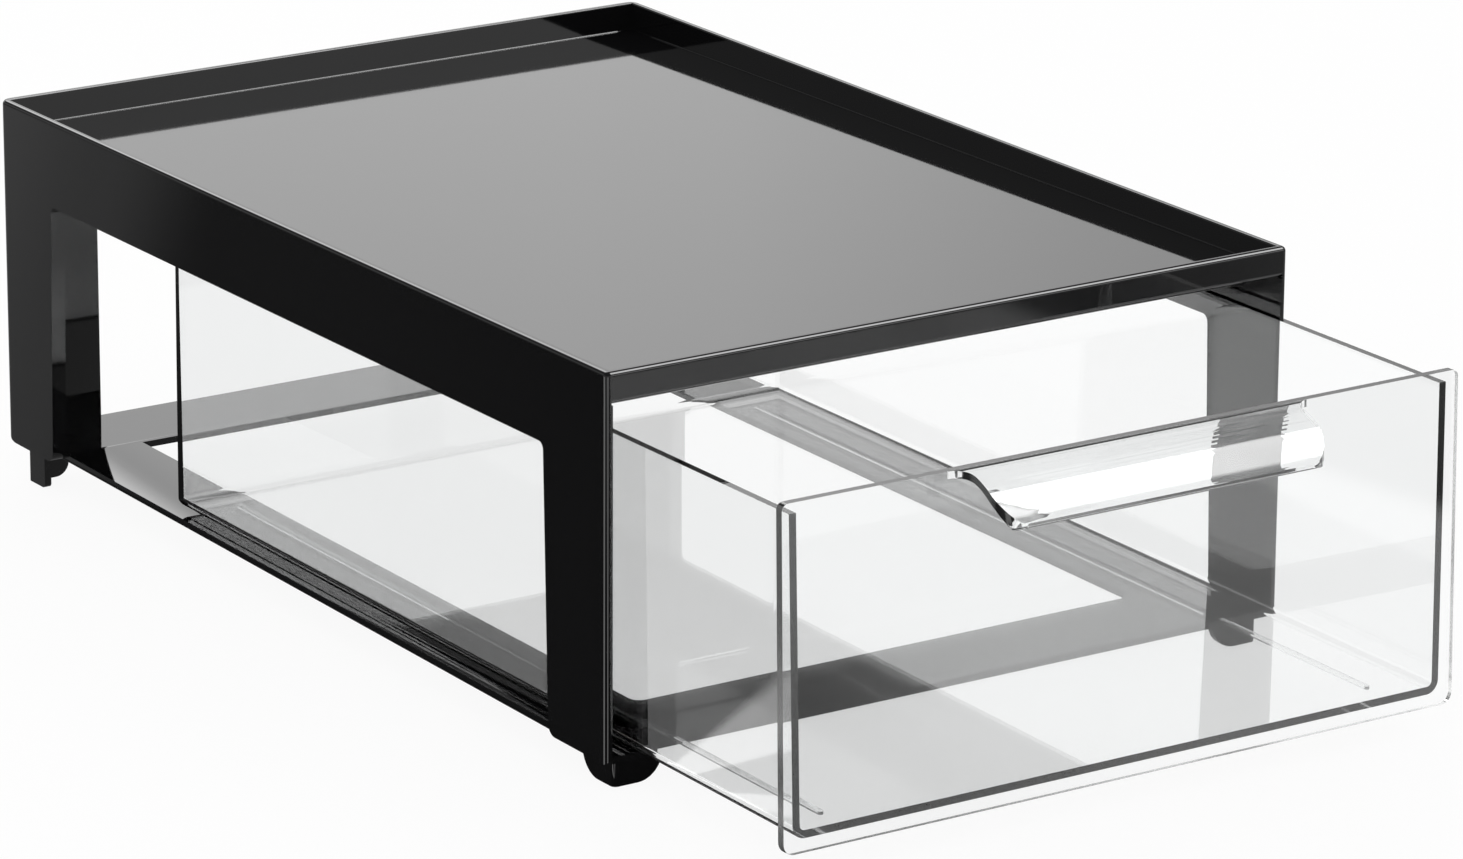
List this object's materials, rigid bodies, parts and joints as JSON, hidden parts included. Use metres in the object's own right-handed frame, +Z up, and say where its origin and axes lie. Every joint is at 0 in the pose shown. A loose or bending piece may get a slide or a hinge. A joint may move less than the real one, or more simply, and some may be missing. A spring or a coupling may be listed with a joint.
{
  "type": "stackable drawer box",
  "caption": "Low black frame with a recessed tray top, open side windows, ring base and feet, holding a clear drawer that slides out of the front by a curved pull lip.",
  "frame": {"origin": "on the resting surface, under the middle of the frame's footprint", "axes": "+Z up from the surface to the tray; -Y is the front that the drawer slides out of; +X is the right side seen from the front"},
  "size_m": [0.2032, 0.3891, 0.106],
  "materials": {
    "frame_plastic": "high-gloss black moulded plastic",
    "clear_plastic": "crystal-clear polished plastic"
  },
  "bodies": {
    "frame": {"top_panel": "frame_plastic", "left_side": "frame_plastic", "right_side": "frame_plastic", "base_plate": "frame_plastic", "rear_left_flange": "frame_plastic", "rear_right_flange": "frame_plastic", "foot_front_left": "frame_plastic", "foot_front_right": "frame_plastic", "foot_rear_left": "frame_plastic", "foot_rear_right": "frame_plastic"},
    "drawer": {"drawer_tub": "clear_plastic", "drawer_front": "clear_plastic", "drawer_pull": "clear_plastic", "left_runner": "clear_plastic", "right_runner": "clear_plastic"}
  },
  "joints": [
    {"name": "drawer_slide", "type": "slide", "parent": "frame", "child": "drawer", "axis": [0, -1, -0.009], "range_m": [-0.0701, 0.15]}
  ]
}
